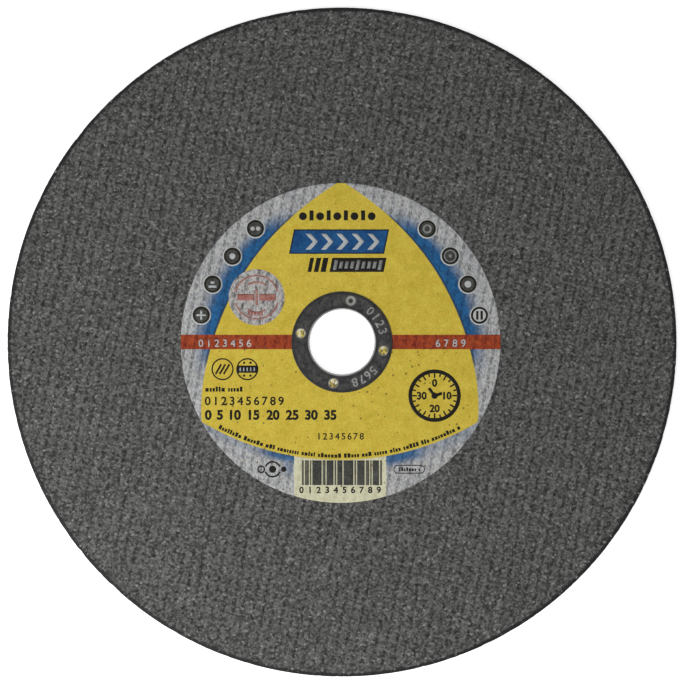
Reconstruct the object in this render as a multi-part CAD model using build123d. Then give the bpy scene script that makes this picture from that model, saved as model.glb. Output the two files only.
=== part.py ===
"""Reinforced abrasive cut-off disc for an angle grinder.

The disc lies flat with its back face on z = 0, and +Z runs out of the bore on the label side.
The origin is on the bore axis at the back face. A hot-pressed body of grain and resin holds a
glass-fibre net in a shallow recess on each side. A paper label lies on the front net, and a
pressed steel ring lines the bore, with burrs that are driven through the label into the body.
"""

import os
from math import sqrt

from build123d import *

# Disc
disc_diameter = 230.0
disc_thickness = 1.9
rim_bevel = 0.5
rim_land_width = 3.5
hub_land_width = 0.7

# Glass-fibre nets: warp yarns lie on the outside, weft yarns under them
yarn_thickness = 0.13
warp_width = 2.2
weft_width = 1.0
warp_pitch = 3.363
weft_pitch = 3.321
front_net_lean = 11.0
back_net_lean = -34.0
net_skew = 1.3
front_warp_shift = -0.64
front_weft_shift = -0.23
back_yarn_shift = 0.8

# Paper label, stuck on slightly off the bore's centre
label_diameter = 109.8
label_thickness = 0.15
label_shift_x = -0.45
label_shift_y = -0.27

# Steel centre ring
bore_diameter = 22.23
ring_sheet = 0.3
flange_width = 6.235
flange_edge_bevel = 0.1
collar_setback = 0.15

# Holes pierced through the middle of the ring's flange, each with a crown of burrs bent down
pierced_count = 4
pierced_diameter = 3.0
pierced_first_angle = 78.0
burrs_per_hole = 4
burr_length = 0.95
burr_thickness = 0.25
burr_root_width = 1.2
burr_tip_width = 0.3

# Clearances between pieces that are pressed together
collar_clearance = 0.05
net_clearance = 0.05
burr_clearance = 0.05
resin_film = 0.01

# Sizes that follow from those above
disc_radius = disc_diameter / 2
bore_radius = bore_diameter / 2
collar_radius = bore_radius + ring_sheet
body_bore_radius = collar_radius + collar_clearance
hub_land_radius = body_bore_radius + hub_land_width
rim_land_radius = disc_radius - rim_land_width
net_radius = rim_land_radius - net_clearance
net_hub_radius = hub_land_radius + net_clearance
recess_depth = 2 * yarn_thickness + 3 * resin_film
bend_inside_radius = label_thickness
bend_outside_radius = bend_inside_radius + ring_sheet
bend_end_radius = collar_radius + bend_inside_radius
flange_radius = bore_radius + flange_width
flange_underside = disc_thickness + label_thickness
flange_top = flange_underside + ring_sheet
pierced_radius = pierced_diameter / 2
pierced_circle_radius = (bend_end_radius + flange_radius) / 2
burr_tip = flange_underside - burr_length
tool_height = 4 * flange_top


def abrasive_body():
    """Round body turned from its half section, with a recess in each face for the net."""
    front, back = disc_thickness, 0.0
    recess_front, recess_back = front - recess_depth, back + recess_depth
    rim_flat = disc_radius - rim_bevel
    half_section = Polygon(
        (body_bore_radius, back),
        (hub_land_radius, back),
        (hub_land_radius, recess_back),
        (rim_land_radius, recess_back),
        (rim_land_radius, back),
        (rim_flat, back),
        (disc_radius, back + rim_bevel),
        (disc_radius, front - rim_bevel),
        (rim_flat, front),
        (rim_land_radius, front),
        (rim_land_radius, recess_front),
        (hub_land_radius, recess_front),
        (hub_land_radius, front),
        (body_bore_radius, front),
        align=None,
    )
    return revolve(Plane.XZ * half_section, Axis.Z) - burr_crowns(burr_clearance)


def yarn(centre, width):
    """One flat yarn along Y at x = centre, with its ends cut to the net's round outline."""
    left, right = centre - width / 2, centre + width / 2
    left_end = sqrt(net_radius**2 - left**2)
    right_end = sqrt(net_radius**2 - right**2)
    outline = Polygon(
        (left, -left_end),
        (right, -right_end),
        (right, right_end),
        (left, left_end),
        align=None,
    )
    return extrude(outline, yarn_thickness)


def yarns(pitch, width, shift):
    """A set of parallel yarns at an even pitch, as many as the net's circle holds."""
    reach = int((net_radius + abs(shift)) // pitch)
    centres = [shift + pitch * n for n in range(-reach, reach + 1)]
    return [yarn(x, width) for x in centres if abs(x) + width / 2 < net_radius]


def net_layer(pitch, width, shift, turn, bottom, openings):
    """One set of yarns turned about Z and lifted to its height, open at the hub and openings."""
    place = Pos(0, 0, bottom) * Rot(0, 0, turn)
    laid = Compound([place * strand for strand in yarns(pitch, width, shift)])
    hub = Cylinder(net_hub_radius, tool_height)
    return laid - [hub, *openings]


def front_net():
    """Warp just under the front face and weft below it, both open round each crown of burrs."""
    warp_bottom = disc_thickness - resin_film - yarn_thickness
    weft_bottom = warp_bottom - resin_film - yarn_thickness
    openings = burr_posts()
    warp = net_layer(
        warp_pitch, warp_width, front_warp_shift, -front_net_lean, warp_bottom, openings
    )
    weft = net_layer(
        weft_pitch, weft_width, front_weft_shift, 90 - front_net_lean - net_skew, weft_bottom, openings
    )
    return warp, weft


def back_net():
    """The front net's twin in the back recess, at another angle: warp outside, weft inside."""
    warp_bottom = resin_film
    weft_bottom = warp_bottom + yarn_thickness + resin_film
    warp = net_layer(warp_pitch, warp_width, back_yarn_shift, -back_net_lean, warp_bottom, [])
    weft = net_layer(
        weft_pitch, weft_width, back_yarn_shift, 90 - back_net_lean - net_skew, weft_bottom, []
    )
    return warp, weft


def pierced_places():
    """Centres of the pierced holes, each turned so that its own X points away from the bore."""
    return PolarLocations(pierced_circle_radius, pierced_count, start_angle=pierced_first_angle)


def burr_posts():
    """A round post over each crown of burrs, out past the corners of the burrs' backs."""
    reach = sqrt((pierced_radius + burr_thickness) ** 2 + (burr_root_width / 2) ** 2)
    post = Cylinder(reach + burr_clearance, tool_height)
    return [place * post for place in pierced_places()]


def burr_crowns(room):
    """Tapered burrs round each pierced hole, down from the flange, grown by room all round."""
    root = burr_root_width / 2 + room
    tip = burr_tip_width / 2 + room
    top = flange_underside
    bottom = burr_tip - room
    outline = Polygon((-root, top), (-tip, bottom), (tip, bottom), (root, top), align=None)
    burr = Pos(pierced_radius - room, 0, 0) * extrude(
        Plane.YZ * outline, burr_thickness + 2 * room
    )
    crown = [Rot(0, 0, 360 / burrs_per_hole * n) * burr for n in range(burrs_per_hole)]
    return [place * part for place in pierced_places() for part in crown]


def paper_label():
    """Printed disc of paper on the front face, open at the bore and slit by the burrs."""
    middle = Pos(label_shift_x, label_shift_y, disc_thickness + label_thickness / 2)
    paper = middle * Cylinder(label_diameter / 2, label_thickness)
    hole = Cylinder(bend_end_radius + collar_clearance, tool_height)
    return paper - hole - burr_crowns(burr_clearance)


def centre_ring():
    """Sheet ring: a flat flange on the label, drawn round a bend into a collar in the bore."""
    bend_top = flange_top - bend_outside_radius
    with BuildPart() as ring:
        with BuildSketch(Plane.XZ):
            with BuildLine():
                RadiusArc((bore_radius, bend_top), (bend_end_radius, flange_top), bend_outside_radius)
                Polyline(
                    (bend_end_radius, flange_top),
                    (flange_radius - flange_edge_bevel, flange_top),
                    (flange_radius, flange_top - flange_edge_bevel),
                    (flange_radius, flange_underside),
                    (bend_end_radius, flange_underside),
                    (collar_radius, flange_underside - bend_inside_radius),
                    (collar_radius, collar_setback),
                    (bore_radius, collar_setback),
                    (bore_radius, bend_top),
                )
            make_face()
        revolve(axis=Axis.Z)
    punch = Cylinder(pierced_radius, tool_height)
    holes = [place * punch for place in pierced_places()]
    return ring.part - holes + burr_crowns(0.0)


def main():
    """Write one STEP file for each piece."""
    os.makedirs("parts", exist_ok=True)
    front_warp, front_weft = front_net()
    back_warp, back_weft = back_net()
    pieces = {
        "abrasive_core": abrasive_body(),
        "front_net_warp": front_warp,
        "front_net_weft": front_weft,
        "back_net_warp": back_warp,
        "back_net_weft": back_weft,
        "label": paper_label(),
        "centre_ring": centre_ring(),
    }
    for name, piece in pieces.items():
        export_step(piece, f"parts/{name}.step")
        print(name, len(piece.solids()), "solids", round(piece.volume, 2), "mm3")


main()
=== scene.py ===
# %% [markdown]
# # A reinforced cut-off disc
# The real disc is a thin round plate of abrasive grain in hard resin. A net of glass yarn is
# pressed into each face, a printed paper label lies on the front, and a steel ring lines the bore.
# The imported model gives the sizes. This lesson dresses it: it works out each surface with numpy,
# in millimetres, and gives every finish its own nodes.

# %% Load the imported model
from math import cos, degrees, pi, radians, sin, tau

import bpy
import numpy as np
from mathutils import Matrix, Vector
from mathutils.geometry import delaunay_2d_cdt


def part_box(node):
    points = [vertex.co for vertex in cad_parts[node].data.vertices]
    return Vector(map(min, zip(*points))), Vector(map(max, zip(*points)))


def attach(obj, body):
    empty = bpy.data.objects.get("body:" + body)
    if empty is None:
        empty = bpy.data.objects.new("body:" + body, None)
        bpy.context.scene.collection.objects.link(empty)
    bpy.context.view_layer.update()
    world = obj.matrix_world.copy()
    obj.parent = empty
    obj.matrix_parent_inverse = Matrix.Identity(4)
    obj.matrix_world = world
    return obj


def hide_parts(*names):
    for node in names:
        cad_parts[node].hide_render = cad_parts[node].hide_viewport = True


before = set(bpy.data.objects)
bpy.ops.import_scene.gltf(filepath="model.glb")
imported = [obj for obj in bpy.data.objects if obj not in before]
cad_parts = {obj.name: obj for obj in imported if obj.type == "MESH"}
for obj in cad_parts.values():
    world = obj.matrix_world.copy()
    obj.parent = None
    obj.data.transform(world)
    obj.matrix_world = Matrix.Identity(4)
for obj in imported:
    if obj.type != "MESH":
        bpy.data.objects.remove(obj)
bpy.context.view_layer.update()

# %% [markdown]
# ## Sizes from the model
# A box round each node gives the outer radii and the heights that the new surfaces have to
# meet, so none of them is fitted by eye. Inner radii don't show in a box. They are written out
# where they are first needed, and so are the net's lie and the print's layout.

# %% Read radii and heights


def box_mm(node):
    """Lowest and highest corner of a node's box, in millimetres."""
    low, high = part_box(node)
    return np.array(low) * 1000, np.array(high) * 1000


disc_low, disc_high = box_mm("abrasive_core")
label_low, label_high = box_mm("label")
ring_low, ring_high = box_mm("centre_ring")
# The model's rim has facets, so its box falls short of the circle on some sides. The shortest
# of the four reaches keeps the new rim inside it.
disc_radius = min(*disc_high[:2], *(-disc_low[:2]))
disc_face = disc_high[2]
disc_back = disc_low[2]
label_radius = (label_high[0] - label_low[0]) / 2
label_centre = (label_low[:2] + label_high[:2]) / 2
label_top = label_high[2]
flange_radius = (ring_high[0] - ring_low[0]) / 2
flange_top = ring_high[2]
collar_end = ring_low[2]
print("disc: radius", round(disc_radius, 3), "face", round(disc_face, 3))
print("label: radius", round(label_radius, 3), "middle", label_centre, "top", round(label_top, 3))
print("ring: radius", round(flange_radius, 3), "top", round(flange_top, 3))

# %% [markdown]
# ## Camera
# The disc was seen from straight above through a long lens, which shows its rim as a true circle.
# The picture is 233.5 mm wide at the disc's face, and its middle lies a little up and left of the
# bore. The lens follows from that width and from the camera's height, so nothing is tried out.

# %% Place the camera
picture_width = 0.23345
picture_middle = (-0.00067, 0.00072)
camera_height = 1.2
camera_data = bpy.data.cameras.new("camera")
camera_data.sensor_width = 36.0
camera_data.lens = camera_data.sensor_width * camera_height / picture_width
camera_data.clip_start = 0.05
camera = bpy.data.objects.new("camera", camera_data)
camera.location = (*picture_middle, camera_height + disc_face / 1000)
bpy.context.collection.objects.link(camera)
bpy.context.scene.camera = camera
bpy.context.scene.view_settings.view_transform = "Standard"
print("lens", round(camera_data.lens, 1), "mm")

# %% [markdown]
# ## Wires that add up
# A pattern in a material is arithmetic on the place of a point. Each sum would take a node and
# some links by hand. This small class lets a socket be written as a number in a formula, and
# makes the Math nodes itself.

# %% Formulas as nodes


class Wire:
    """A socket that takes + - * / with numbers and other wires, one Math node each time."""

    def __init__(self, tree, socket):
        self.tree, self.socket = tree, socket

    def apply(self, operation, *others):
        """One Math node of that operation, fed by this wire and the others in turn."""
        node = self.tree.nodes.new("ShaderNodeMath")
        node.operation = operation
        for entry, value in zip(node.inputs, (self, *others)):
            plug(self.tree, value, entry)
        return Wire(self.tree, node.outputs[0])

    def __add__(self, other):
        return self.apply("ADD", other)

    def __sub__(self, other):
        return self.apply("SUBTRACT", other)

    def __mul__(self, other):
        return self.apply("MULTIPLY", other)

    def __truediv__(self, other):
        return self.apply("DIVIDE", other)

    def __neg__(self):
        return self * -1.0

    def at_most(self, other):
        return self.apply("MINIMUM", other)

    def at_least(self, other):
        return self.apply("MAXIMUM", other)

    def size(self):
        return self.apply("ABSOLUTE")

    def root(self):
        return self.apply("SQRT")

    def rise(self, start, end, low=0.0, high=1.0):
        """Smooth step: low before start, high after end, an S between them."""
        node = self.tree.nodes.new("ShaderNodeMapRange")
        node.interpolation_type = "SMOOTHSTEP"
        values = (self, start, end, low, high)
        for entry, value in zip(node.inputs, values):
            plug(self.tree, value, entry)
        return Wire(self.tree, node.outputs[0])

    def blend(self, first, second):
        """Colour first where the wire is 0 and second where it is 1."""
        node = self.tree.nodes.new("ShaderNodeMix")
        node.data_type = "RGBA"
        # A Mix node's colour sockets come after those for numbers and for vectors.
        plug(self.tree, self, node.inputs[0])
        plug(self.tree, first, node.inputs[6])
        plug(self.tree, second, node.inputs[7])
        return Wire(self.tree, node.outputs[2])


def plug(tree, value, entry):
    """Link a wire to a node's entry, or write a plain number or colour into it."""
    if isinstance(value, Wire):
        tree.links.new(value.socket, entry)
    elif isinstance(value, tuple) and len(value) == 3 and len(entry.default_value) == 4:
        entry.default_value = (*value, 1.0)
    else:
        entry.default_value = value


def shade(red, green, blue):
    """A colour as a paint chart gives it, 0 to 255, turned into the linear values of light."""
    values = np.array([red, green, blue]) / 255
    linear = np.where(values > 0.04045, ((values + 0.055) / 1.055) ** 2.4, values / 12.92)
    return tuple(float(v) for v in linear)


def distance(x, y):
    """How far a point is from where x and y are 0: the root of the sum of their squares."""
    return (x * x + y * y).root()


class Finish:
    """A material under construction: its nodes, its Principled shader and the point in mm."""

    def __init__(self, name):
        self.material = bpy.data.materials.new(name)
        self.material.use_nodes = True
        self.tree = self.material.node_tree
        self.shader = self.tree.nodes["Principled BSDF"]
        place = self.tree.nodes.new("ShaderNodeTexCoord").outputs["Object"]
        scale = self.tree.nodes.new("ShaderNodeVectorMath")
        scale.operation = "SCALE"
        scale.inputs["Scale"].default_value = 1000.0
        self.tree.links.new(place, scale.inputs[0])
        self.point = Wire(self.tree, scale.outputs[0])
        parts = self.tree.nodes.new("ShaderNodeSeparateXYZ")
        self.tree.links.new(scale.outputs[0], parts.inputs[0])
        self.x, self.y, self.z = (Wire(self.tree, entry) for entry in parts.outputs)

    def stretched(self, turn, along, across):
        """The point turned by an angle about Z and scaled, for a pattern drawn out one way."""
        node = self.tree.nodes.new("ShaderNodeMapping")
        node.inputs["Rotation"].default_value = (0, 0, radians(turn))
        node.inputs["Scale"].default_value = (across, along, 1.0)
        self.tree.links.new(self.point.socket, node.inputs["Vector"])
        return Wire(self.tree, node.outputs[0])

    def noise(self, size, detail=2.0, roughness=0.5, point=None):
        """Soft cloud noise whose blots are about size millimetres across, from 0 to 1."""
        node = self.tree.nodes.new("ShaderNodeTexNoise")
        node.inputs["Scale"].default_value = 1.0 / size
        node.inputs["Detail"].default_value = detail
        node.inputs["Roughness"].default_value = roughness
        self.tree.links.new((point or self.point).socket, node.inputs["Vector"])
        return Wire(self.tree, node.outputs[0])

    def cells(self, size, jitter=1.0):
        """Grains about size millimetres apart: distance to a grain's middle, and its own number."""
        node = self.tree.nodes.new("ShaderNodeTexVoronoi")
        node.inputs["Scale"].default_value = 1.0 / size
        node.inputs["Randomness"].default_value = jitter
        self.tree.links.new(self.point.socket, node.inputs["Vector"])
        split = self.tree.nodes.new("ShaderNodeSeparateColor")
        self.tree.links.new(node.outputs["Color"], split.inputs[0])
        return Wire(self.tree, node.outputs["Distance"]), Wire(self.tree, split.outputs[0])

    def bump(self, height, depth):
        """Bend the light as a relief of that depth in millimetres would."""
        node = self.tree.nodes.new("ShaderNodeBump")
        node.inputs["Distance"].default_value = depth / 1000
        plug(self.tree, height, node.inputs["Height"])
        self.tree.links.new(node.outputs[0], self.shader.inputs["Normal"])

    def set(self, **values):
        """Write the shader's own sockets; a socket's name has _ for its spaces."""
        for name, value in values.items():
            plug(self.tree, value, self.shader.inputs[name.replace("_", " ")])
        return self.material


print("formula nodes ready")

# %% [markdown]
# ## The net's lie
# A glass net has broad flat warp yarns one way and narrow weft yarns across them. Under the resin
# skin it shows as broad ribs with narrow valleys, and the weft bridges each valley. Real woven yarns
# would never be seen under the resin, so only their relief is made. The same formula is written
# twice: with numpy for the surface and with nodes for the painted shade of its valleys in the
# colour.

# %% The nets
# Each set of yarns has a pitch in mm, a turn in degrees and a shift in mm. The edges are the
# distances from a yarn's middle at which its rib starts and ends its fall.
front_net = {"warp": (3.363, -11.0, -0.58), "weft": (3.321, 77.7, -0.30)}
back_net = {"warp": (3.363, 34.0, 0.8), "weft": (3.321, 122.7, 0.8)}
warp_edge = (0.95, 1.42)
weft_edge = (0.32, 0.68)
weft_level = 0.72


def smooth_step(value, start, end):
    """0 before start, 1 after end, and 3t squared minus 2t cubed between them."""
    t = np.clip((value - start) / (end - start), 0, 1)
    return t * t * (3 - 2 * t)


def yarn_distance(x, y, lie):
    """Distance to the nearest yarn's middle: the place across the yarns, folded to one pitch."""
    pitch, turn, shift = lie
    across = x * cos(radians(turn)) + y * sin(radians(turn)) - shift
    return np.abs(across - pitch * np.round(across / pitch))


def net_height(x, y, net):
    """Relief from 0 in the open cells to 1 on a warp rib, with the weft as lower bridges."""
    warp = 1 - smooth_step(yarn_distance(x, y, net["warp"]), *warp_edge)
    weft = 1 - smooth_step(yarn_distance(x, y, net["weft"]), *weft_edge)
    return np.maximum(warp, weft_level * weft)


def yarn_wire(finish, lie):
    """The same distance as nodes, by a Math node that folds with ping-pong."""
    pitch, turn, shift = lie
    across = finish.x * cos(radians(turn)) + finish.y * sin(radians(turn)) - shift
    return across.apply("PINGPONG", pitch / 2)


def net_wire(finish, net):
    """The same relief as nodes."""
    warp = yarn_wire(finish, net["warp"]).rise(*warp_edge, 1.0, 0.0)
    weft = yarn_wire(finish, net["weft"]).rise(*weft_edge, 1.0, 0.0)
    return warp.at_least(weft * weft_level)


print("cells across the disc:", round(2 * disc_radius / front_net["warp"][0]))

# %% [markdown]
# ## From arrays to a piece
# Every surface below ends as one array of points and one of faces. Blender takes both at once
# with foreach_set, which is far quicker than a loop over vertices.

# %% Make a mesh from arrays
sharp_angle = radians(65)
weld_steps = 10000


def make_piece(name, points, *faces, smooth=True):
    """A mesh object at the origin from points in mm and face arrays of 3 or 4 columns."""
    mesh = bpy.data.meshes.new(name)
    corners = np.concatenate([part.ravel() for part in faces]).astype(np.int32)
    sizes = np.concatenate([np.full(len(part), part.shape[1]) for part in faces])
    starts = np.concatenate([[0], np.cumsum(sizes)[:-1]]).astype(np.int32)
    mesh.vertices.add(len(points))
    mesh.vertices.foreach_set("co", (np.asarray(points) / 1000).astype(np.float32).ravel())
    mesh.loops.add(len(corners))
    mesh.loops.foreach_set("vertex_index", corners)
    mesh.polygons.add(len(sizes))
    mesh.polygons.foreach_set("loop_start", starts)
    mesh.polygons.foreach_set("use_smooth", np.full(len(sizes), smooth))
    mesh.update(calc_edges=True)
    mesh.validate()
    if smooth:
        mesh.set_sharp_from_angle(angle=sharp_angle)
    piece = bpy.data.objects.new(name, mesh)
    bpy.context.collection.objects.link(piece)
    return piece


def grid_faces(rows, columns, wrap_rows=False, wrap_columns=False):
    """Quads of a grid numbered row by row; a wrapped side joins its end to its start."""
    row = np.arange(rows if wrap_rows else rows - 1)
    column = np.arange(columns if wrap_columns else columns - 1)
    here, there = row[:, None], (row[:, None] + 1) % rows
    left, right = column[None, :], (column[None, :] + 1) % columns
    quads = [here * columns + left, there * columns + left]
    quads += [there * columns + right, here * columns + right]
    return np.stack([q.ravel() for q in np.broadcast_arrays(*quads)], axis=1)


def weld(points, *faces):
    """Merge points that share a place to a ten-thousandth of a millimetre."""
    keys = np.round(points * weld_steps).astype(np.int64)
    _, index, inverse = np.unique(keys, axis=0, return_index=True, return_inverse=True)
    inverse = inverse.ravel()
    return (points[index], *(inverse[part] for part in faces))


def dress(piece, material, slot, *nodes):
    """Give a piece its finish and its body, and hide the nodes that it stands for. The slot is not
    used.
    """
    piece.data.materials.clear()
    piece.data.materials.append(material)
    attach(piece, "root")
    if nodes:
        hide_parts(*nodes)
    return piece


print("mesh helpers ready")

# %% [markdown]
# ## The abrasive body
# Grain, resin and both nets are pressed into one plate, so its skin shows all of them. A plain
# disc with a bump would look flat at the rim, so the relief is real: the half section is carried
# round the bore, the face sinks between the yarns, grain stands out at random, and the rim has
# small chips where grains have broken away.

# %% Shape the body
columns = 1080
hub_radius = 11.465
label_reach = 54.0
net_reach = 111.5
face_sink = 0.07
grain_height = 0.028
relief_start = (12.2, 12.8)
loose_start, loose_end = 13, 113
jitter = 0.3
chip_count = 150
fray = 0.05

face_radii = np.concatenate([
    [hub_radius, relief_start[0]],
    np.arange(12.9, label_reach, 0.7),
    np.arange(label_reach, 113.5, 0.5),
])
# The rim is rounded: its stations go down from the face as they come out to the full radius.
rim_depths = np.array([0.0, 0.03, 0.10, 0.24, 0.42, 0.68])
rim_insets = np.array([1.10, 0.60, 0.32, 0.13, 0.03, 0.0])
radii = np.concatenate([face_radii, disc_radius - rim_insets])
depths = np.concatenate([np.zeros(len(face_radii)), rim_depths])
print("stations across half the section:", len(radii), "columns:", columns)


def rim_chips(angles, seed):
    """Bites out of the rim: a sum of bell curves, each with its own place, width and depth."""
    chance = np.random.default_rng(seed)
    places = chance.uniform(0, tau, chip_count)[:, None]
    widths = chance.uniform(0.25, 0.9, chip_count)[:, None] / disc_radius
    bites = chance.uniform(0.05, 0.32, chip_count)[:, None] ** 1.3
    away = np.angle(np.exp(1j * (angles[None, :] - places)))
    return (bites * np.exp(-((away / widths) ** 2))).sum(axis=0)


def body_half(net, face, inwards, seed):
    """Points of one face from hub to rim: a polar grid, jittered, then sunk by net and grain."""
    chance = np.random.default_rng(seed)
    angles = np.arange(columns) * tau / columns
    shape = (len(radii), columns)
    step = np.gradient(radii)[:, None]
    loose = ((radii > loose_start) & (radii < loose_end))[:, None]
    r = radii[:, None] + loose * step * chance.uniform(-jitter, jitter, shape)
    a = angles[None, :] + loose * chance.uniform(-jitter, jitter, shape) * tau / columns
    edge = smooth_step(radii, disc_radius - 1.5, disc_radius - 0.3)[:, None]
    bites = rim_chips(angles, seed + 1)[None, :] + fray * chance.random(shape)
    r = r - edge * bites
    x, y = r * np.cos(a), r * np.sin(a)
    started = smooth_step(r, *relief_start)
    inside = started * (1 - smooth_step(r, net_reach - 0.3, net_reach + 0.2))
    sink = face_sink * (1 - net_height(x, y, net)) * inside
    grain = grain_height * chance.random(shape) ** 2 * started
    z = face + inwards * (depths[:, None] + sink + grain)
    return np.stack([x, y, z], axis=2)


front = body_half(front_net, disc_face, -1, 3)
back = body_half(back_net, disc_back, 1, 7)
section = np.concatenate([front, back[::-1]])
print("surface points:", section.shape[0] * section.shape[1])

# %% [markdown]
# ## Slices of a cake
# As one mesh the body would be far too heavy to hand on. It is cut like a cake into closed slices,
# and each cut gets a cap of quads, so that every slice is a solid of its own.

# %% Cut the body into closed slices
slices = 6


def slice_arrays(section, first, last):
    """Columns first to last of the closed section, with a cap of quads on each cut."""
    span = np.arange(first, last + 1) % columns
    block = section[:, span]
    count, width = block.shape[:2]
    skin = grid_faces(count, width, wrap_rows=True)
    near = np.arange(count // 2 - 1)
    far = count - 1 - near
    start = np.stack([near, far, far - 1, near + 1], axis=1) * width
    end = start[:, ::-1] + width - 1
    return block.reshape(-1, 3), skin, start, end


body_slices = []
for number in range(slices):
    first = number * columns // slices
    arrays = slice_arrays(section, first, first + columns // slices)
    body_slices.append(make_piece(f"abrasive_slice_{number + 1}", *arrays))
print("slices:", [len(piece.data.polygons) for piece in body_slices])

# %% [markdown]
# ## The look of grain
# Fused grain of about half a millimetre sits in black resin. Each grain has its own grey, the gaps
# between them are darker, and a few grains get a painted glint. Two sizes of cell noise give each
# grain one tone, and cloud noise makes the small clumps that the eye reads as grit. A single noise
# would look like fog, or like tiles. Painted shade is added too: in the net's valleys, beside each
# weft and towards the rim.

# %% Mix the abrasive finish
coarse_grain, fine_grain = 0.74, 0.50
clump_size, cloud_size = 1.05, 26.0
middle_height = 0.95
# How far the painted shadow beside each weft lies from the weft's middle, in mm.
weft_shadow_shift = 0.75


def abrasive_finish():
    """Grain, resin, painted glints, and painted shade in the net's valleys, beside each weft and
    towards the rim, for both faces and the rim.
    """
    finish = Finish("pressed_grain")
    gap, tone = finish.cells(coarse_grain)
    _, fine_tone = finish.cells(fine_grain)
    clump = finish.noise(clump_size, 2.0, 0.6)
    cloud = finish.noise(cloud_size, 2.0)
    upper = finish.z.rise(0.9, 1.0)
    # Painted shade: the net's ribs are lighter and its valleys darker in the colour.
    rib_shading = net_wire(finish, front_net) * upper
    rib_shading = rib_shading + net_wire(finish, back_net) * (upper * -1.0 + 1.0)
    reach = distance(finish.x, finish.y)
    inside = reach.rise(net_reach - 0.3, net_reach + 0.3, 1.0, 0.0)
    rib_shading = (rib_shading - 0.62) * inside
    # Painted shadow: a dark band beside each weft on the front face, on its side away from the
    # light.
    pitch, turn, shift = front_net["weft"]
    weft_shadow = yarn_wire(finish, (pitch, turn, shift + weft_shadow_shift)).rise(0.10, 0.50, 1.0, 0.0)
    weft_shadow = weft_shadow * inside * upper
    light = tone * 0.36 + fine_tone * 0.21 + clump * 0.64 + cloud * 0.06 + rib_shading * 0.145
    light = light - gap.rise(0.25, 0.6) * 0.10 - weft_shadow * 0.035
    # Painted shade: the face darkens towards the rounded rim, whose bevel faces away from the light,
    # and the rim's own wall much less.
    wall = (finish.z - middle_height).size().rise(0.35, 0.75, 0.10, 0.44)
    light = light - reach.rise(disc_radius - 1.62, disc_radius - 0.75) * wall
    level = light.rise(0.205, 1.09)
    colour = level.blend(shade(14, 15, 15), shade(105, 105, 103))
    # Painted highlight: a few of the brightest grains get a glint in their colour.
    painted_glint = tone.rise(0.93, 0.96) * fine_tone.rise(0.5, 0.6)
    colour = (painted_glint * 0.7).blend(colour, shade(126, 126, 124))
    finish.bump(light, 0.07)
    return finish.set(Base_Color=colour, Roughness=0.62, Specular_IOR_Level=0.20)


pressed_grain = abrasive_finish()
body_nodes = ["abrasive_core", "front_net_warp", "front_net_weft", "back_net_warp", "back_net_weft"]
for piece in body_slices:
    dress(piece, pressed_grain, "abrasive", *body_nodes)
print("abrasive body dressed")

# %% [markdown]
# ## The paper label
# The label is a ring of thin paper, pressed on while the disc is hot, so the net's ribs show in
# it too. Its inner edge is round the bore and its outer edge round its own middle, which lies
# half a millimetre off. A plain disc moved aside would leave a gap at the ring, so straight lines
# between the two circles carry the sheet.

# %% Shape the label
label_hole = 11.615
label_sink = 0.022
label_columns = 720
label_rows = 97
paper_depth = 0.149
flat_share, round_share = 0.9945, 0.9985


def label_relief(x, y):
    """Height of the paper's upper side: the sheet's top, less the sink between the ribs."""
    return label_top - label_sink * (1 - net_height(x, y, front_net))


def label_sheet():
    """Closed sheet: upper side from hole to edge, rounded edge, and a flat lower side."""
    flat = np.linspace(0, 1, label_rows)[:-1] * flat_share
    share = np.concatenate([flat, [flat_share, round_share, 1.0, 1.0, 0.0]])
    drop = np.concatenate([np.zeros(label_rows), [0.02, 0.07, paper_depth, paper_depth]])
    angle = np.arange(label_columns) * tau / label_columns
    radius = label_hole + (label_radius - label_hole) * share[:, None]
    x = label_centre[0] * share[:, None] + radius * np.cos(angle)[None, :]
    y = label_centre[1] * share[:, None] + radius * np.sin(angle)[None, :]
    upper = np.where(np.arange(len(share)) < label_rows + 2, 1, 0)[:, None]
    z = upper * (label_relief(x, y) - label_top)
    z = z + label_top - drop[:, None]
    faces = grid_faces(len(share), label_columns, wrap_rows=True, wrap_columns=True)
    return np.stack([x, y, z], axis=2).reshape(-1, 3), faces


label = make_piece("paper_label", *label_sheet())
print("label faces:", len(label.data.polygons))

# %% [markdown]
# ## The label's colours
# Silver-grey paper, a warm yellow field, blue beside it that fades outwards, one stripe across
# the middle and a pale tab below. Large plain areas are best painted by the material itself: an
# edge is then a formula, and stays sharp however close the camera comes.

# %% Edges of the coloured fields
field_middle, field_lean = -0.62, 0.005
field_widths = (43.93, -0.3034, -0.005687, -1.016e-6)
arc_x, arc_y, arc_radius = -0.71, 51.93, 92.4


def field_edges(x, y):
    """Depth inside the yellow field, from its two bowed sides and from the arc below.

    The half width is a sum of y, its square and its fourth power, each with its own factor. The
    arc is part of a large circle whose middle lies far up the sheet.
    """
    flat, slope, square, fourth = field_widths
    half = y * slope + y * y * square + y * y * y * y * fourth + flat
    side = half - (x - field_middle - y * field_lean).size()
    above = -distance(x - arc_x, y - arc_y) + arc_radius
    return side, above


def blue_fades(x, y, side, above, blot):
    """How much blue lies beside and below the field: full at its edge, clouded further out."""
    lower = y.rise(-1.0, 1.0, 3.0, 0.0)
    wider = y.rise(8.0, 20.0, 0.0, 1.5) - y.rise(30.0, 40.0, 0.0, 0.8)
    beside = (side - lower + wider + (blot - 0.5) * 2.5).rise(-9.2, -2.6)
    beside = beside * y.rise(37.0, 47.0, 1.0, 0.0) * y.rise(-12.0, -1.0)
    depth = x.rise(-19.0, 0.0, 3.3, 4.8)
    below = (above / depth + (blot - 0.5) * 0.4).rise(-1.0, -0.35)
    below = below * x.size().rise(23.0, 31.0, 0.92, 0.25) * y.rise(-28.0, -26.0, 1.0, 0.0)
    corner = (x + 18.4).size().rise(0.6, 2.4, 0.5, 0.0) * y.rise(-47.5, -43.0)
    below = below.at_least(corner * y.rise(-40.5, -38.5, 1.0, 0.0))
    return beside, below


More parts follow.
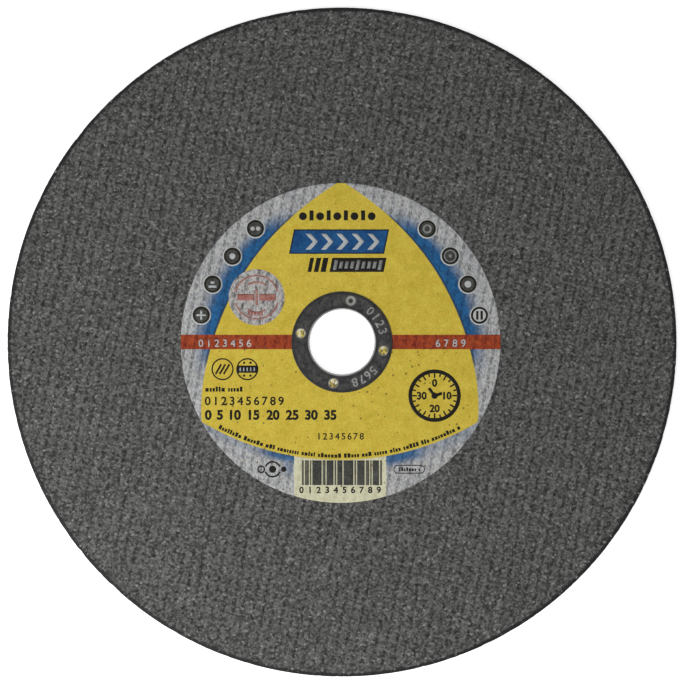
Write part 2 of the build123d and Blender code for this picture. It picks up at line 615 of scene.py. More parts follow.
print("arc below the field: radius", arc_radius, "mm")

# %% [markdown]
# ## Specks and torn paper
# Grain works through the paper here and there as small brown specks. In the punched holes the
# label is torn, and in one of them bare steel shows round a dark middle. Both are read from cell
# noise, since each speck or scrap needs one colour of its own.

# %% Specks and what shows in the punched holes
speck_spacing, scrap_spacing = 2.2, 0.95
eye_x, eye_y = 3.0, 14.14


def specks(finish):
    """How much of a speck is at a point: distance from its middle over its own size."""
    gap, chance = finish.cells(speck_spacing)
    dots = (gap / chance).rise(0.09, 0.26, 1.0, 0.0) * chance.rise(0.60, 0.62)
    return dots * finish.y.rise(-4.0, 10.0, 0.85, 0.4)


def torn_paper(finish):
    """Scraps in three tones, and in one hole a bright ring round a dark middle."""
    _, scrap = finish.cells(scrap_spacing)
    torn = scrap.rise(0.24, 0.42).blend(shade(110, 100, 60), shade(184, 166, 78))
    torn = scrap.rise(0.60, 0.70).blend(torn, shade(196, 193, 168))
    eye = distance(finish.x - eye_x, finish.y - eye_y)
    bare = eye.rise(0.55, 1.10).blend(shade(40, 40, 39), shade(138, 138, 134))
    return eye.rise(2.0, 2.2, 1.0, 0.0).blend(torn, bare)


print("specks about", speck_spacing, "mm apart")

# %% [markdown]
# ## Painting the sheet
# Each colour has a dark and a light tone, and the paper's fibres choose between them, with painted
# shade in the valleys between the net's ribs. The masks are laid over each other in the order of a
# printing press: paper, blue, yellow, round seal, tab and stripe, and last what has been worn
# through.

# %% Paint the paper
stripe_middle, stripe_half, stripe_start = 0.05, 2.49, 17.0
tab_middle, tab_half = -0.6, 15.8
seal_x, seal_y, seal_radius = -29.3, 15.4, 9.6
ink_edge = 0.07
sheet_colours = {
    "silver": (shade(78, 79, 78), shade(178, 179, 177)),
    "yellow": (shade(158, 138, 28), shade(195, 177, 70)),
    "blue": (shade(0, 32, 68), shade(28, 94, 142)),
    "stained": (shade(66, 63, 64), shade(180, 177, 174)),
    "cream": (shade(163, 160, 132), shade(193, 191, 164)),
    "red": (shade(86, 12, 0), shade(152, 64, 26)),
}


def paper_finish():
    """All the label's large colours, each a mask made from the place on the sheet."""
    finish = Finish("printed_paper")
    x, y = finish.x, finish.y
    fibre = finish.noise(0.65, 3.0, 0.62, finish.stretched(11.0, 0.55, 1.0))
    fine = finish.noise(0.45, 2.0, 0.6)
    blot = finish.noise(3.5, 3.0, 0.6)
    tint = finish.noise(1.3, 1.0)
    # Painted shade: the net's ribs are lighter and its valleys darker in the paper's tone.
    rib_shading = net_wire(finish, front_net)
    tone = fibre * 0.67 + fine * 0.13 + blot * 0.24 + rib_shading * 0.12
    tone = tone.rise(0.36, 0.85)
    mottle = (fine * 0.62 + blot * 0.38).rise(0.25, 0.75)
    silver = tone.blend(*sheet_colours["silver"])
    silver = tint.rise(0.35, 0.7, 0.0, 0.15).blend(silver, shade(122, 122, 150))
    yellow = mottle.blend(*sheet_colours["yellow"])
    yellow = tint.rise(0.35, 0.75, 0.0, 0.4).blend(yellow, shade(190, 156, 54))
    blue = (tone * 0.7 + mottle * 0.3).blend(*sheet_colours["blue"])

    side, above = field_edges(x, y)
    beside, below = blue_fades(x, y, side, above, blot)
    colour = beside.at_least(below).blend(silver, blue)
    field = side.at_most(above).rise(-ink_edge, ink_edge)
    colour = field.blend(colour, yellow)
    line = (side + 0.25).size().rise(0.25, 0.55, 1.0, 0.0) * beside.rise(0.1, 0.5)
    colour = (line * 0.75).blend(colour, shade(22, 40, 62))
    seal = distance(x - seal_x, y - seal_y) - seal_radius
    stained = tone.blend(*sheet_colours["stained"])
    colour = seal.rise(-ink_edge, ink_edge, 1.0, 0.0).blend(colour, stained)
    tab = (-above).at_most(-((x - tab_middle).size()) + tab_half)
    cream = tone.blend(*sheet_colours["cream"])
    colour = tab.rise(-ink_edge, ink_edge).blend(colour, cream)
    reach = distance(x, y)
    stripe = (-((y - stripe_middle).size()) + stripe_half).at_most(reach - stripe_start)
    red = tone.blend(*sheet_colours["red"])
    colour = stripe.rise(-ink_edge, ink_edge).blend(colour, red)

    colour = specks(finish).blend(colour, shade(84, 68, 26))
    colour = reach.rise(16.9, 17.1, 1.0, 0.0).blend(colour, torn_paper(finish))
    finish.bump(tone * 0.5 + fine * 0.5, 0.02)
    return finish.set(Base_Color=colour, Roughness=0.55, Specular_IOR_Level=0.20)


printed_paper = paper_finish()
dress(label, printed_paper, "label_paper", "label")
print("label painted")

# %% [markdown]
# ## Printed shapes
# Small print is a thin skin of ink that lies on the paper and follows its ribs. Masks in the
# paper's material could draw it too, but hundreds of them would make that material very slow. So
# each shape is a patch: a grid of two numbers from 0 to 1, and a formula that places them on the
# sheet. All shapes of one ink become one piece later on.

# %% Patches of ink
ink_step = 0.6
stamps = []


def patch(rows, columns, place):
    """Flat grid of rows by columns quads; place turns the two shares into x and y."""
    u, v = np.meshgrid(np.linspace(0, 1, rows + 1), np.linspace(0, 1, columns + 1), indexing="ij")
    x, y = place(u, v)
    return np.stack([x.ravel(), y.ravel()], axis=1), grid_faces(rows + 1, columns + 1)


def steps(length):
    """How many quads a length of ink takes, so that it can follow the ribs."""
    return max(1, int(np.ceil(abs(length) / ink_step)))


def bar(ink, layer, x, y, width, height, turn=0.0, lean=0.0):
    """A bar round its middle, turned by degrees, each part shifted by lean times its height."""
    c, s = cos(radians(turn)), sin(radians(turn))

    def place(u, v):
        up = (v - 0.5) * height
        along = (u - 0.5) * width + lean * up
        return x + along * c - up * s, y + along * s + up * c

    stamps.append((ink, layer, *patch(steps(width), steps(height), place)))


def ring(ink, layer, x, y, inner, outer, start=0.0, end=360.0):
    """A ring or a part of one: radius one way and angle the other."""

    def place(u, v):
        radius, angle = inner + (outer - inner) * u, np.radians(start + (end - start) * v)
        return x + radius * np.cos(angle), y + radius * np.sin(angle)

    around = max(12, steps(radians(end - start) * outer * 1.6))
    stamps.append((ink, layer, *patch(steps(outer - inner), around, place)))


def disc(ink, layer, x, y, radius):
    """A full disc without a pole: a square whose sides are bowed out onto the circle."""

    def place(u, v):
        p, q = 2 * u - 1, 2 * v - 1
        return x + radius * p * np.sqrt(1 - q * q / 2), y + radius * q * np.sqrt(1 - p * p / 2)

    count = max(4, steps(radius * 3))
    stamps.append((ink, layer, *patch(count, count, place)))


def chevron(ink, layer, x, y, width, height, reach):
    """An arrow head of two slanted bars: the middle line is pushed forward by reach."""
    for side in (1, -1):

        def place(u, v):
            up = (v - 0.5 + 0.5 * side) * height / 2
            return x + (u - 0.5) * width + reach * (1 - 2 * np.abs(up) / height), y + up

        stamps.append((ink, layer, *patch(steps(width), steps(height / 2), place)))


def dashes(ink, layer, x, y, length, height, seed, path=None):
    """A line of small upright blocks in groups, as print looks when it is too small to read."""
    chance = np.random.default_rng(seed)
    at = 0.0
    left = chance.integers(3, 9)
    while at < length:
        width = height * chance.uniform(0.34, 0.70)
        tall = height * chance.choice([0.72, 0.72, 1.0])
        middle = at + width / 2
        if path:
            bx, by, turn = path(middle, tall / 2 - height / 2)
        else:
            bx, by, turn = x + middle, y + tall / 2 - height / 2, 0.0
        bar(ink, layer, bx, by, width, tall, turn)
        at += width + height * 0.18
        left -= 1
        if left == 0:
            at += height * 0.5
            left = chance.integers(3, 9)


print("patch formulas ready")

# %% [markdown]
# ## Plain figures
# Blender's own typeface gives figures as flat triangles. Its lines are too thin for most of the
# print, and the offset of a text curve breaks at sharp corners. So the outline, which is made of
# the edges that only one triangle uses, is pushed outwards here and then filled again.

# %% Figures with bolder lines
figure_scale = 1.42
same_place = 0.00001


def thicken(points, faces, bold):
    """Push the points of an outline outwards by bold, square to the mean of their two edges.

    At a corner the push is longer by 2 over the size of the two edges' summed normals, as a mitre
    is, but never by more than half.
    """
    edges = np.concatenate([faces[:, [0, 1]], faces[:, [1, 2]], faces[:, [2, 0]]])
    ordered = np.sort(edges, axis=1)
    _, first, uses = np.unique(ordered, axis=0, return_index=True, return_counts=True)
    border = edges[first[uses == 1]]
    along = points[border[:, 1]] - points[border[:, 0]]
    normal = np.column_stack([along[:, 1], -along[:, 0]]) / np.hypot(*along.T)[:, None]
    push = np.zeros_like(points)
    np.add.at(push, border.T.ravel(), np.concatenate([normal, normal]))
    size = np.hypot(*push.T)[:, None]
    further = np.minimum(2 / np.maximum(size, 1.3), 1.5)
    return points + bold * further * push / np.maximum(size, 0.5), border


def fill(points, border):
    """Triangles round whose middle the border turns once: its signed angles there add up to tau."""
    outline, links = points.tolist(), border.tolist()
    spots, _, faces, *_ = delaunay_2d_cdt(outline, links, [], 1, same_place)
    spots, faces = np.array(spots), np.array(faces)
    middles = spots[faces].mean(axis=1) @ (1, 1j)
    ends = (points @ (1, 1j))[border] - middles[:, None, None]
    turns = np.angle(ends[:, :, 1] / ends[:, :, 0]).sum(axis=1)
    return spots, faces[turns > pi]


def numeral_arrays(text, height, bold=0.0):
    """A figure from Blender's own typeface, made bolder, as flat triangles round its middle."""
    curve = bpy.data.curves.new("figure", "FONT")
    curve.body = text
    curve.align_x, curve.align_y = "CENTER", "CENTER"
    curve.size = (height - 2 * bold) * figure_scale
    holder = bpy.data.objects.new("figure", curve)
    mesh = bpy.data.meshes.new_from_object(holder)
    mesh.calc_loop_triangles()
    points = np.zeros(len(mesh.vertices) * 3)
    mesh.vertices.foreach_get("co", points)
    faces = np.zeros(len(mesh.loop_triangles) * 3, dtype=np.int32)
    mesh.loop_triangles.foreach_get("vertices", faces)
    bpy.data.objects.remove(holder)
    bpy.data.curves.remove(curve)
    bpy.data.meshes.remove(mesh)
    points, faces = points.reshape(-1, 3)[:, :2], faces.reshape(-1, 3)
    points, faces = weld(points - (points.min(axis=0) + points.max(axis=0)) / 2, faces)
    return fill(*thicken(points, faces, bold))


def numeral(ink, layer, text, x, y, height, bold=0.0):
    """A plain figure stamped with its middle at a place."""
    points, faces = numeral_arrays(text, height, bold)
    stamps.append((ink, layer, points + (x, y), faces))


def numeral_row(ink, numbers, start, step, y, height, bold):
    """Figures of one size, with their middles at an even step along a line."""
    for count, number in enumerate(numbers):
        numeral(ink, 0, str(number), start + step * count, y, height, bold)


print("figures ready")

# %% [markdown]
# ## The banner
# At the top of the yellow field stand a row of dots and bars, a blue banner with arrow heads and a
# black bar with a counted scale. They lean like the rest, by a shift along x for each step up.

# %% Lay out the banner and the scale
lean = 0.207
banner_x, banner_y, banner_width, banner_height = -1.0, 34.5, 32.65, 8.35
scale_y, scale_height = 26.5, 4.85

bar("blue", 0, banner_x, banner_y, banner_width, banner_height, lean=lean)
for side in (-1, 1):
    up = side * 4.0
    bar("navy", 1, banner_x + up * lean, banner_y + up, banner_width, 0.4)
    bar("navy", 2, banner_x + side * 16.1, banner_y, 0.4, banner_height, lean=lean)
for count in range(5):
    chevron("pale", 1, -11.6 + 5.3 * count, banner_y, 1.8, 5.5, 2.5)
bar("black", 0, 5.5, scale_y, 18.6, scale_height, lean=lean)
for count in range(9):
    bar("ash", 1, -2.2 + 1.92 * count, scale_y, 1.15, 2.4 if count % 4 else 3.4, lean=lean)
for at, width in [(-10.7, 1.3), (-8.4, 1.6), (-6.0, 1.8)]:
    bar("black", 0, at, scale_y, width, scale_height, lean=lean)
for count in range(9):
    at = -13.4 + 2.95 * count
    if count % 2:
        bar("black", 0, at, 43.5, 1.4, 3.4)
    else:
        disc("black", 0, at, 43.2, 1.35)

numeral_row("pale", range(7), -48.4, 2.75, -0.35, 2.6, 0.05)
numeral_row("pale", range(6, 10), 33.0, 2.9, -0.35, 2.6, 0.05)
print("shapes so far:", len(stamps))

# %% [markdown]
# ## Badges in the margin
# Eight round badges with plain marks stand in the silver margin, four on each side. Each is a
# pile of discs, and a shape of a higher layer lies a little higher, so none of them flicker.

# %% Lay out the badges
badge_places = [
    (-29.7, 39.0), (-37.6, 29.5), (-44.4, 19.9), (-48.3, 9.3),
    (29.3, 38.9), (37.2, 29.6), (43.3, 19.9), (47.2, 9.2),
]
halo_radius, badge_radius, dark_radius = 3.4, 2.95, 2.3

for count, (bx, by) in enumerate(badge_places):
    disc("halo", 0, bx, by, halo_radius)
    if count == 7:
        ring("black", 1, bx, by, 2.2, badge_radius)
    else:
        disc("black", 1, bx, by, badge_radius)
        disc("slate", 2, bx, by, dark_radius)
    if count == 0:
        for shift in (-0.95, 0.95):
            disc("pale", 3, bx + shift, by, 0.75)
    if count in (1, 6):
        disc("pale", 3, bx, by, 1.0 + 0.03 * count)
    if count == 2:
        bar("pale", 3, bx, by - 0.8, 2.8, 0.8)
        bar("pale", 3, bx, by + 0.6, 1.4, 0.8)
    if count == 3:
        bar("pale", 3, bx, by, 3.2, 0.7)
        for side in (-1, 1):
            bar("pale", 3, bx, by + side * 0.97, 0.7, 1.2)
    if count == 4:
        ring("ash", 3, bx, by, 0.9, 1.6)
    if count == 5:
        ring("ash", 3, bx, by, 1.75, 2.15)
        disc("ash", 3, bx, by, 0.6)
    if count == 7:
        for shift in (-0.75, 0.75):
            bar("black", 1, bx + shift, by, 0.8, 3.0)
print("shapes so far:", len(stamps))

# %% [markdown]
# ## Seal, round marks and rows
# On the round pale seal go arcs and bars in a worn red. Below the stripe come two round marks,
# rows of plain figures and lines of small blocks. The last line follows the yellow field's lower
# edge, so its blocks are placed and turned by their length along an arc.

# %% Lay out the seal, the round marks and the rows
mark_left, mark_right, mark_y = -41.0, -32.5, -9.3
fine_radius = arc_radius - 1.5
fine_start = 43.0

for count, (inner, outer) in enumerate([(7.2, 7.7), (4.9, 5.5)]):
    ring("red", 0, seal_x, seal_y, inner, outer, 15 + 40 * count, 165 - 40 * count)
    ring("red", 0, seal_x, seal_y, inner, outer, 195 + 40 * count, 345 - 40 * count)
for side in (-1, 1):
    bar("red", 0, seal_x + side * 3.7, seal_y, 5.8, 2.2)
bar("red", 0, seal_x, seal_y, 0.8, 5.4)
dashes("red", 1, seal_x - 3.0, seal_y - 5.6, 6.0, 1.4, 9)

for bx in (mark_left, mark_right):
    ring("black", 0, bx, mark_y, 3.32, 3.80)
for shift in (-1.4, 0.0, 1.4):
    bar("black", 0, mark_left + shift, mark_y, 0.65, 3.9, turn=-30)
bar("black", 1, mark_right, mark_y, 6.9, 2.5)
for count in range(5):
    bar("pale", 2, -34.9 + 1.2 * count, mark_y, 0.45, 1.3)
for shift in (-1.1, 1.1):
    for side in (-1, 1):
        disc("black", 0, mark_right + shift, mark_y + side * 2.2, 0.42)

dashes("black", 0, -46.9, -16.15, 12.6, 1.7, 12)
numeral_row("black", range(10), -46.1, 2.8, -20.2, 3.0, 0.09)
for count, at in enumerate([-45.9, -41.9, -36.6, -30.2, -23.7, -17.1, -10.5, -4.0]):
    numeral("black", 0, str(5 * count), at, -25.0, 3.5, 0.19)
numeral_row("black", range(1, 9), -7.9, 2.1, -32.35, 2.3, 0.05)


def along_arc(length, up):
    """Place and turn at a length along the arc: the angle is that length over the radius."""
    angle = (length - fine_start) / fine_radius
    reach = fine_radius - up
    return arc_x + reach * sin(angle), arc_y - reach * cos(angle), degrees(angle)


dashes("black", 0, 0, 0, 85.0, 1.5, 15, along_arc)
print("shapes so far:", len(stamps))

# %% [markdown]
# ## The dial
# A round dial with ticks, figures and two hands. All of it is placed by angle and distance from
# the dial's middle. The hands and the hub lie on layers of their own, because they cross.

# %% Lay out the dial
dial_x, dial_y = 31.8, -18.4
dial_inner, dial_outer = 7.7, 9.0
dial_ticks = 24
figure_reach = 4.4

ring("black", 0, dial_x, dial_y, dial_inner, dial_outer)
for count in range(dial_ticks):
    angle = tau * count / dial_ticks
    reach, length = (7.17, 1.0) if count % 2 else (6.87, 1.6)
    at_x, at_y = dial_x + reach * cos(angle), dial_y + reach * sin(angle)
    bar("black", 0, at_x, at_y, length, 0.55, degrees(angle))
for count in range(1, 5):
    angle = pi / 2 - tau * count / 4
    at_x, at_y = dial_x + figure_reach * cos(angle), dial_y + figure_reach * sin(angle)
    numeral("black", 0, str(10 * count % 40), at_x, at_y, 2.7, 0.145)
bar("black", 0, dial_x - 0.9, dial_y + 1.2, 1.05, 3.6, turn=37)
bar("black", 1, dial_x + 1.2, dial_y + 0.4, 2.8, 1.05, turn=17)
disc("black", 2, dial_x, dial_y, 1.1)
print("shapes so far:", len(stamps))

# %% [markdown]
# ## The tab
# The pale tab below carries upright bars of uneven width over a row of figures, and small marks
# stand in the silver paper on both sides of it.

# %% Lay out the tab and the marks beside it
tab_bars = (0.7, 1.4, 0.5, 3.2, 1.0, 2.4, 0.6, 1.8, 3.4, 0.6, 2.6, 1.2, 0.5, 2.2, 0.7)
tab_gap = 0.34
target_x, capsule_x, low_y = -23.8, 23.1, -43.65

at = -13.8
for width in tab_bars:
    bar("slate" if width > 1.5 else "grey", 0, at + width / 2, -44.85, width, 8.5)
    at += width + tab_gap
numeral_row("black", range(10), -13.9, 2.95, -50.75, 2.3, 0.10)

ring("black", 0, -27.7, low_y, 0.85, 1.35)
for turn in (20, 200):
    ring("black", 0, target_x, low_y, 2.3, 2.85, turn, turn + 140)
disc("black", 0, target_x, low_y, 1.25)
disc("black", 0, -20.0, low_y, 0.95)
for side in (-1, 1):
    bar("black", 0, capsule_x, low_y + side * 1.35, 7.8, 0.3)
    ring("black", 0, capsule_x + side * 3.9, low_y, 1.2, 1.5, -90 * side, -90 * side + 180)
dashes("black", 0, 19.6, low_y, 6.8, 1.3, 17)
print("shapes laid out:", len(stamps))

# %% [markdown]
# ## Ink
# All shapes of one ink are welded into one piece, and a Solidify modifier gives it the thickness
# of a printed film. Each ink has two tones, because rough paper takes it unevenly. Patches have
# quads and follow the ribs; figures have triangles, too few of them to bend, and lie flat.

# %% Weld the shapes into one piece for each ink
ink_lift = 0.012
ink_thickness = 0.00001


def ink_arrays(wanted):
    """All shapes of one ink by layer; patches follow the ribs and figures lie on top of them."""
    sheets, quads, triangles, start = [], [], [], 0
    for ink, layer, flat, faces in stamps:
        if ink != wanted:
            continue
        follows = faces.shape[1] == 4
        paper = label_relief(flat[:, 0], flat[:, 1]) if follows else np.full(len(flat), label_top)
        height = paper + ink_lift * (layer + 1)
        sheets.append(np.column_stack([flat, height]))
        (quads if follows else triangles).append(faces + start)
        start += len(flat)
    groups = [np.concatenate(group) for group in (quads, triangles) if group]
    return weld(np.concatenate(sheets), *groups)


def ink_finish(name, low, high):
    """Printing ink: one colour with the small mottle that rough paper gives it."""
    finish = Finish(name)
    mottle = (finish.noise(0.45, 2.0, 0.6) * 0.6 + finish.noise(3.5, 3.0) * 0.4).rise(0.2, 0.8)
    colour = mottle.blend(low, high)
    finish.bump(mottle, 0.01)
    return finish.set(Base_Color=colour, Roughness=0.5, Specular_IOR_Level=0.12)


ink_colours = {
    "black": (shade(6, 6, 5), shade(26, 24, 18)),
    "navy": (shade(3, 14, 28), shade(12, 30, 52)),
    "blue": (shade(0, 38, 82), shade(34, 84, 130)),
    "red": (shade(112, 50, 40), shade(166, 124, 116)),
    "pale": (shade(132, 138, 142), shade(176, 178, 176)),
    "halo": (shade(148, 150, 150), shade(176, 178, 176)),
    "grey": (shade(58, 58, 51), shade(96, 95, 84)),
    "slate": (shade(12, 12, 11), shade(80, 80, 76)),
    "ash": (shade(84, 86, 86), shade(140, 142, 140)),
}
for ink, (low, high) in ink_colours.items():
    piece = make_piece(f"ink_{ink}", *ink_arrays(ink))
    film = piece.modifiers.new("thickness", "SOLIDIFY")
    film.thickness = ink_thickness
    film.offset = -1
    dress(piece, ink_finish(f"{ink}_ink", low, high), "label_paper")
    print(ink, "ink faces:", len(piece.data.polygons))

# %% [markdown]
# ## The centre ring
# Thin steel sheet, drawn down through the bore and pierced by four punches that dimple its
# flange. Cutting holes with a Boolean would leave long thin faces that shade badly. But a plate
# with a hole is a surface of two parameters too: rays run from the hole's edge to the edge of its
# quarter of the plate. The bend, the collar and the outer edge are profiles, carried round the
# bore, and all parts are welded where they meet.

# %% Shape the ring
bore_radius = 11.115
collar_radius = 11.415
flat_start = 11.565
flat_end = flange_radius - 0.14
flange_under = label_top
plate_top = flange_top - 0.03
punch_circle = 14.4575
punch_radius = 1.5
punch_first = 78.0
dimple_depth, dimple_width = 0.09, 0.38
ring_columns = 240
side_steps = 10
ray_shares = np.array([0, 0.02, 0.05, 0.09, 0.15, 0.25, 0.4, 0.6, 0.8, 1.0])[None, :]


def quarter_edge(turn):
    """The edge of a quarter of the flange: inner arc, a side, outer arc back, and the other side."""
    arc = np.radians(turn + np.linspace(-45, 45, ring_columns // 4 + 1))
    side = np.linspace(flat_start, flat_end, side_steps + 1)
    around = len(arc) - 1
    radius = np.concatenate([
        np.full(around, flat_start), side[:-1], np.full(around, flat_end), side[:0:-1]])
    angle = np.concatenate([
        arc[:-1], np.full(side_steps, arc[-1]), arc[:0:-1], np.full(side_steps, arc[0])])
    return np.stack([radius * np.cos(angle), radius * np.sin(angle)], axis=1)


def quarter_plate(turn, level, dimple, up):
    """A quarter of the flange round one punched hole, as rays from the hole to the edge.

    The dimple is a bell curve: its depth times e to the minus square of the distance from the
    hole's edge over the dimple's width.
    """
    edge = quarter_edge(turn)
    middle = punch_circle * np.array([cos(radians(turn)), sin(radians(turn))])
    away = edge - middle
    reach = np.hypot(away[:, 0], away[:, 1])[:, None]
    out = punch_radius + (reach - punch_radius) * ray_shares
    flat = middle + (away / reach)[:, None, :] * out[:, :, None]
    bell = np.exp(-(((out - punch_radius) / dimple_width) ** 2))
    sink = dimple * bell * (ray_shares < 1)
    points = np.concatenate([flat, (level - sink)[:, :, None]], axis=2)
    faces = grid_faces(len(edge), ray_shares.shape[1], wrap_rows=True)
    return points.reshape(-1, 3), faces if up else faces[:, ::-1], points[:, 0]


def turned(profile):
    """A profile of radius and height carried round the bore as a grid of rings."""
    angle = np.arange(ring_columns) * tau / ring_columns + radians(punch_first - 45)
    radius, height = np.array(profile).T
    x, y = radius[:, None] * np.cos(angle), radius[:, None] * np.sin(angle)
    z = np.broadcast_to(height[:, None], x.shape)
    faces = grid_faces(len(profile), ring_columns, wrap_columns=True)
    return np.stack([x, y, z], axis=2).reshape(-1, 3), faces


def gather(*parts):
    """Join parts of points and faces, count their faces on, and weld what meets."""
    counts = np.cumsum([0] + [len(points) for points, _ in parts])
    points = np.concatenate([points for points, _ in parts])
    faces = np.concatenate([faces + start for (_, faces), start in zip(parts, counts)])
    return weld(points, faces)


def bend(radius_in, radius_out, low, high, count):
    """A quarter of an ellipse from the collar up to the flange."""
    t = np.linspace(0, pi / 2, count)
    radius = radius_out - (radius_out - radius_in) * np.cos(t)
    height = low + (high - low) * np.sin(t)
    return np.stack([radius, height], axis=1)


def ring_arrays():
    """Flange plates above and below, hole walls, outer edge, bend and collar."""
    parts = []
    for count in range(4):
        turn = punch_first + 90 * count
        top_points, top_faces, top_hole = quarter_plate(turn, plate_top, dimple_depth, True)
        low_points, low_faces, low_hole = quarter_plate(turn, flange_under, 0.0, False)
        wall = np.stack([low_hole, top_hole]).reshape(-1, 3)
        wall_faces = grid_faces(2, len(top_hole), wrap_columns=True)[:, ::-1]
        parts += [(top_points, top_faces), (low_points, low_faces), (wall, wall_faces)]
    edge = [
        (flat_end, plate_top),
        (flat_end + 0.07, plate_top - 0.015),
        (flat_end + 0.12, plate_top - 0.05),
        (flange_radius, plate_top - 0.11),
        (flange_radius, flange_under + 0.03),
        (flange_radius - 0.04, flange_under),
        (flat_end, flange_under),
    ]
    outside = bend(bore_radius, flat_start, plate_top - 0.45, plate_top, 9)[::-1]
    inside = bend(collar_radius, flat_start, flange_under - 0.15, flange_under, 5)
    collar = [(bore_radius, z) for z in (1.4, 0.9, 0.4, collar_end + 0.04)]
    collar += [(bore_radius + 0.04, collar_end), (collar_radius - 0.04, collar_end)]
    collar += [(collar_radius, collar_end + 0.04)]
    inner = np.concatenate([outside, collar, inside])[::-1]
    parts += [turned(edge), turned(inner)]
    return gather(*parts)


centre_ring = make_piece("centre_ring_sheet", *ring_arrays())
print("ring faces:", len(centre_ring.data.polygons))

# %% [markdown]
# ## Stamped figures
# Two groups of plain figures go round the flange, with their heads outwards. The stamp leaves
# them brighter than the dark sheet. Each is a thin slab, sunk into the flange and just proud of
# it, so that it reads as worked steel from the side too.

# %% Stamped figures on the flange
stamp_circle, stamp_height, stamp_bold = 14.5, 3.1, 0.09
stamp_thickness = 0.00006
stamp_places = [(str(k), 47.5 - 10.8 * k) for k in range(4)]
stamp_places += [(str(k + 5), -42 - 10 * k) for k in range(4)]


def stamped_figures():
    """Each figure is turned by its angle less a quarter turn and moved out to the circle."""
    points, faces, start = [], [], 0
    for text, angle in stamp_places:
        flat, triangles = numeral_arrays(text, stamp_height, stamp_bold)
        turn = radians(angle - 90)
        flat = flat @ np.array([[cos(turn), sin(turn)], [-sin(turn), cos(turn)]])
        flat = flat + stamp_circle * np.array([cos(radians(angle)), sin(radians(angle))])
        points.append(np.column_stack([flat, np.full(len(flat), flange_top)]))
        faces.append(triangles + start)
        start += len(flat)
    return np.concatenate(points), np.concatenate(faces)


figures = make_piece("stamped_figures", *stamped_figures(), smooth=False)
slab = figures.modifiers.new("thickness", "SOLIDIFY")
slab.thickness = stamp_thickness
slab.offset = -1
print("stamped faces:", len(figures.data.polygons))

# %% [markdown]
# ## The look of the steel
# The sheet is dark and dull, with soft blotches and fine scratches. Painted shade darkens it towards
# its two edges, a painted highlight brightens the dimples where the punches bent it, and another
# painted highlight brightens the bend into the bore. All of these follow from the distance to the
# bore's axis and from the height.

# %% Mix the steel finish


def steel_finish(name, low, high, rough):
    """Blotches and scratches between two tones, painted shade at the edges, and painted highlights
    on the dimples and on the bend.
    """
    finish = Finish(name)
    blot = finish.noise(1.6, 4.0, 0.6)
    fine = finish.noise(0.3, 2.0, 0.6)
    scratch = finish.noise(0.5, 3.0, 0.6, finish.stretched(35.0, 0.12, 2.0))
    tone = (blot * 0.40 + fine * 0.35 + scratch * 0.25).rise(0.37, 0.63)
    reach = distance(finish.x, finish.y)
    # Painted shade: darker towards the flange's rolled outer edge and on the flat just outside the
    # bend.
    edge = reach.rise(15.9, 16.7, 0.0, 0.6).at_least(reach.rise(12.2, 13.3, 0.45, 0.0))
    colour = edge.blend(tone.blend(low, high), shade(20, 20, 22))
    # Painted highlight on the punched dimples, where their edges catch the light.
    dimple_highlight = finish.z.rise(plate_top - 0.085, plate_top - 0.03, 0.55, 0.0) * reach.rise(12.4, 12.6)
    colour = dimple_highlight.blend(colour, shade(150, 149, 140))
    # Painted highlight on the bend into the bore, where the steel reflects the light.
    colour = reach.rise(11.35, 11.85, 0.55, 0.0).blend(colour, shade(206, 206, 204))
    finish.bump(fine * 0.5 + scratch * 0.5, 0.02)
    return finish.set(Base_Color=colour, Metallic=0.55, Roughness=rough, Specular_IOR_Level=0.4)


dark_steel = steel_finish("dark_steel", shade(13, 13, 15), shade(70, 69, 68), 0.5)
worn_steel = steel_finish("worn_steel", shade(86, 87, 88), shade(146, 146, 144), 0.45)
dress(centre_ring, dark_steel, "ring_steel", "centre_ring")
dress(figures, worn_steel, "ring_steel")
print("ring dressed")

# %% [markdown]
# ## Studio
# A pale floor, a white surround and two soft lamps above. The lower left is a little brighter, as
# on the real disc. Seen by the camera the floor gets a little glow of its own, so that it reads as
# white paper while the disc's soft shadow stays. A third lamp lies below for the disc's back. The
# floor would hide both, so it is see-through from below and to shadow rays.

# %% Floor, world and lamps
floor_half, floor_level = 3000.0, -0.02
floor_tone, floor_glow = 0.82, 0.65
world_light = 0.40


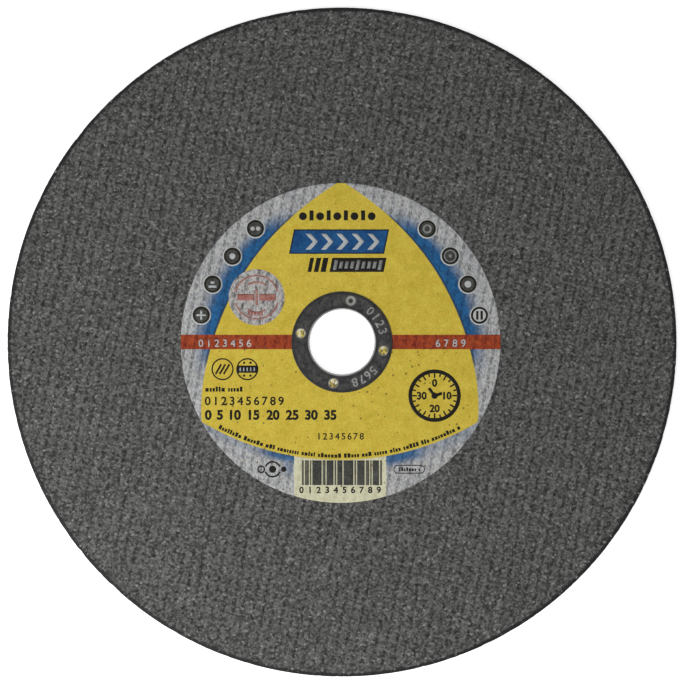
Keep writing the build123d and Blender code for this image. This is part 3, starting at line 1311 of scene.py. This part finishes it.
def make_floor():
    """A flat square sheet under the disc, see-through from below so that the back can be seen."""
    corners = floor_half * np.array([[-1, -1, 0], [1, -1, 0], [1, 1, 0], [-1, 1, 0]])
    piece = make_piece("floor", corners + (0, 0, floor_level), np.array([[0, 1, 2, 3]]))
    material = bpy.data.materials.new("white_floor")
    material.use_nodes = True
    nodes, links = material.node_tree.nodes, material.node_tree.links
    nodes.clear()
    matte = nodes.new("ShaderNodeBsdfDiffuse")
    matte.inputs["Color"].default_value = (floor_tone, floor_tone, floor_tone, 1)
    glow = nodes.new("ShaderNodeEmission")
    path = nodes.new("ShaderNodeLightPath")
    seen = nodes.new("ShaderNodeMath")
    seen.operation = "MAXIMUM"
    links.new(path.outputs["Is Camera Ray"], seen.inputs[0])
    links.new(path.outputs["Is Glossy Ray"], seen.inputs[1])
    part = nodes.new("ShaderNodeMath")
    part.operation = "MULTIPLY"
    part.inputs[1].default_value = floor_glow
    links.new(seen.outputs[0], part.inputs[0])
    links.new(part.outputs[0], glow.inputs["Strength"])
    both = nodes.new("ShaderNodeAddShader")
    links.new(matte.outputs[0], both.inputs[0])
    links.new(glow.outputs[0], both.inputs[1])
    clear = nodes.new("ShaderNodeBsdfTransparent")
    side = nodes.new("ShaderNodeMixShader")
    passes = nodes.new("ShaderNodeMath")
    passes.operation = "MAXIMUM"
    links.new(nodes.new("ShaderNodeNewGeometry").outputs["Backfacing"], passes.inputs[0])
    links.new(path.outputs["Is Shadow Ray"], passes.inputs[1])
    links.new(passes.outputs[0], side.inputs[0])
    links.new(both.outputs[0], side.inputs[1])
    links.new(clear.outputs[0], side.inputs[2])
    links.new(side.outputs[0], nodes.new("ShaderNodeOutputMaterial").inputs["Surface"])
    piece.data.materials.append(material)


def make_world():
    """White to the camera and in reflections, and a plain level of light on everything."""
    world = bpy.data.worlds.new("studio")
    bpy.context.scene.world = world
    world.use_nodes = True
    nodes, links = world.node_tree.nodes, world.node_tree.links
    nodes.clear()
    level = nodes.new("ShaderNodeMapRange")
    level.inputs["To Min"].default_value = world_light
    level.inputs["To Max"].default_value = 1.0
    path = nodes.new("ShaderNodeLightPath")
    seen = path.outputs["Is Camera Ray"]
    for kind in ("Is Glossy Ray", "Is Transmission Ray"):
        either = nodes.new("ShaderNodeMath")
        either.operation = "MAXIMUM"
        links.new(seen, either.inputs[0])
        links.new(path.outputs[kind], either.inputs[1])
        seen = either.outputs[0]
    links.new(seen, level.inputs["Value"])
    light = nodes.new("ShaderNodeBackground")
    links.new(level.outputs[0], light.inputs["Strength"])
    links.new(light.outputs[0], nodes.new("ShaderNodeOutputWorld").inputs["Surface"])


def make_lamp(name, place, size, power):
    """A square soft lamp at a place in metres, aimed at the disc."""
    data = bpy.data.lights.new(name, "AREA")
    data.size = size
    data.energy = power
    lamp = bpy.data.objects.new(name, data)
    lamp.location = place
    lamp.rotation_mode = "QUATERNION"
    lamp.rotation_quaternion = Vector(place).to_track_quat("Z", "Y")
    lamp.visible_camera = False
    bpy.context.collection.objects.link(lamp)


make_floor()
make_world()
make_lamp("key_lamp", (-0.34, -0.34, 0.42), 0.4, 4.82)
make_lamp("fill_lamp", (0.9, 0.6, 1.2), 1.0, 3.8)
make_lamp("back_lamp", (-0.5, -0.6, -1.2), 1.0, 28.0)
print("studio lit")
